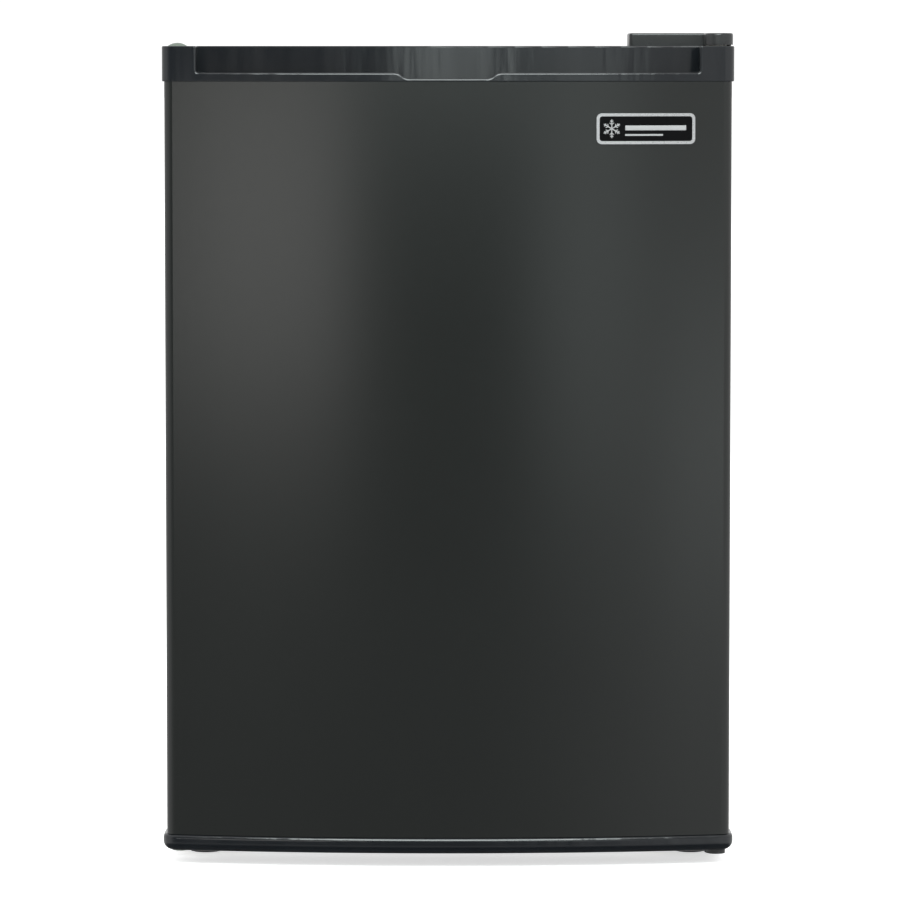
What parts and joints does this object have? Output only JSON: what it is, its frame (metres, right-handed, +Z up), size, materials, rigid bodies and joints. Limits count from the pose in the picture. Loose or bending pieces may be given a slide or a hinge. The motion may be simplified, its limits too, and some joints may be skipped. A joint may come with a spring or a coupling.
{
  "type": "compact refrigerator",
  "caption": "Free-standing compact refrigerator with a bowed right-hinged door, top-edge grip, small freezer, glass shelves and a rear compressor.",
  "frame": {"origin": "on the floor, under the centre of the appliance's bounding box", "axes": "+Z up; the door faces -Y; +X is the hinge side, to the right of a person facing the door"},
  "size_m": [0.445, 0.475, 0.647],
  "materials": {
    "door_paint": "satin charcoal paint",
    "cap_plastic": "gloss black moulding",
    "cabinet_paint": "fine orange-peel black paint",
    "zinc_steel": "galvanised sheet",
    "plated_steel": "zinc-plated",
    "liner_plastic": "vacuum-formed white",
    "white_moulding": "moulded white",
    "clear_moulding": "translucent moulding",
    "insulating_foam": "rigid closed-cell foam",
    "seal_rubber": "soft extrusion",
    "black_rubber": "moulded",
    "nylon": "natural nylon",
    "plug_plastic": "moulded grey-green",
    "plate_rim": "bright rim",
    "plate_field": "gloss black",
    "shelf_glass": "clear tempered",
    "evaporator_sheet": "bare aluminium",
    "copper": "drawn copper",
    "steel_tube": "coated steel tube",
    "compressor_paint": "semi-gloss black",
    "iron": "machined iron and windings",
    "black_moulding": "moulded black",
    "dial_plastic": "moulded light grey"
  },
  "bodies": {
    "cabinet": {"top_hinge_bracket": "plated_steel", "bottom_hinge_plate": "plated_steel", "hinge_pins": "plated_steel", "hinge_washers": "nylon", "hinge_screws": "plated_steel", "hinge_cover": "black_moulding", "outer_shell": "cabinet_paint", "roof_plugs": "black_moulding", "bottom_panel": "zinc_steel", "bay_panel": "zinc_steel", "back_panel": "zinc_steel", "back_screws": "plated_steel", "base_plate": "zinc_steel", "cord_gland": "black_rubber", "inner_liner": "liner_plastic", "cabinet_foam": "insulating_foam", "foot_sockets": "plated_steel", "rear_feet": "black_rubber", "shelf_glass": "shelf_glass", "shelf_trims": "white_moulding", "evaporator": "evaporator_sheet", "evaporator_hangers": "white_moulding", "ice_frame": "white_moulding", "tray_rails": "white_moulding", "thermostat_housing": "white_moulding", "thermostat_switch": "black_moulding", "sensing_tube": "copper", "sensor_clip": "white_moulding", "condenser_tube": "steel_tube", "filter_drier": "copper", "capillary_tube": "copper", "suction_tube": "copper", "process_tube": "copper", "compressor_lower_shell": "compressor_paint", "compressor_upper_shell": "compressor_paint", "compressor_motor_pump": "iron", "compressor_springs": "plated_steel", "compressor_feet": "compressor_paint", "compressor_grommets": "black_rubber", "compressor_bolts": "plated_steel", "terminal_cover": "black_moulding", "start_relay": "black_moulding"},
    "door": {"door_skin": "door_paint", "door_top_cap": "cap_plastic", "door_bottom_cap": "cap_plastic", "door_liner": "liner_plastic", "door_foam": "insulating_foam", "door_gasket": "seal_rubber", "hinge_bushes": "nylon", "socket_plugs": "plug_plastic", "badge_frame": "plate_rim", "badge_plate": "plate_field", "bottle_rack": "clear_moulding", "can_bin": "clear_moulding", "door_bin": "clear_moulding"},
    "freezer_door": {"ice_flap": "white_moulding"},
    "tray": {"drip_tray": "clear_moulding"},
    "dial": {"thermostat_knob": "dial_plastic"},
    "foot_left": {"front_foot_left": "black_rubber"},
    "foot_right": {"front_foot_right": "black_rubber"}
  },
  "joints": [
    {"name": "door_swing", "type": "hinge", "parent": "cabinet", "child": "door", "pos_m": [0.2095, -0.2, 0.32], "axis": [0, 0, 1], "range_deg": [0, 120]},
    {"name": "freezer_flap_swing", "type": "hinge", "parent": "cabinet", "child": "freezer_door", "pos_m": [-0.061, -0.0285, 0.578], "axis": [-1, 0, 0], "range_deg": [0, 85]},
    {"name": "drip_tray_slide", "type": "slide", "parent": "cabinet", "child": "tray", "axis": [0, -1, 0], "range_m": [0, 0.1]},
    {"name": "thermostat_turn", "type": "hinge", "parent": "cabinet", "child": "dial", "pos_m": [0.113, -0.062, 0.57], "axis": [0, 1, 0], "range_deg": [0, 280]},
    {"name": "left_foot_height", "type": "slide", "parent": "cabinet", "child": "foot_left", "axis": [0, 0, -1], "range_m": [0, 0.008]},
    {"name": "right_foot_height", "type": "slide", "parent": "cabinet", "child": "foot_right", "axis": [0, 0, -1], "range_m": [0, 0.008]}
  ]
}
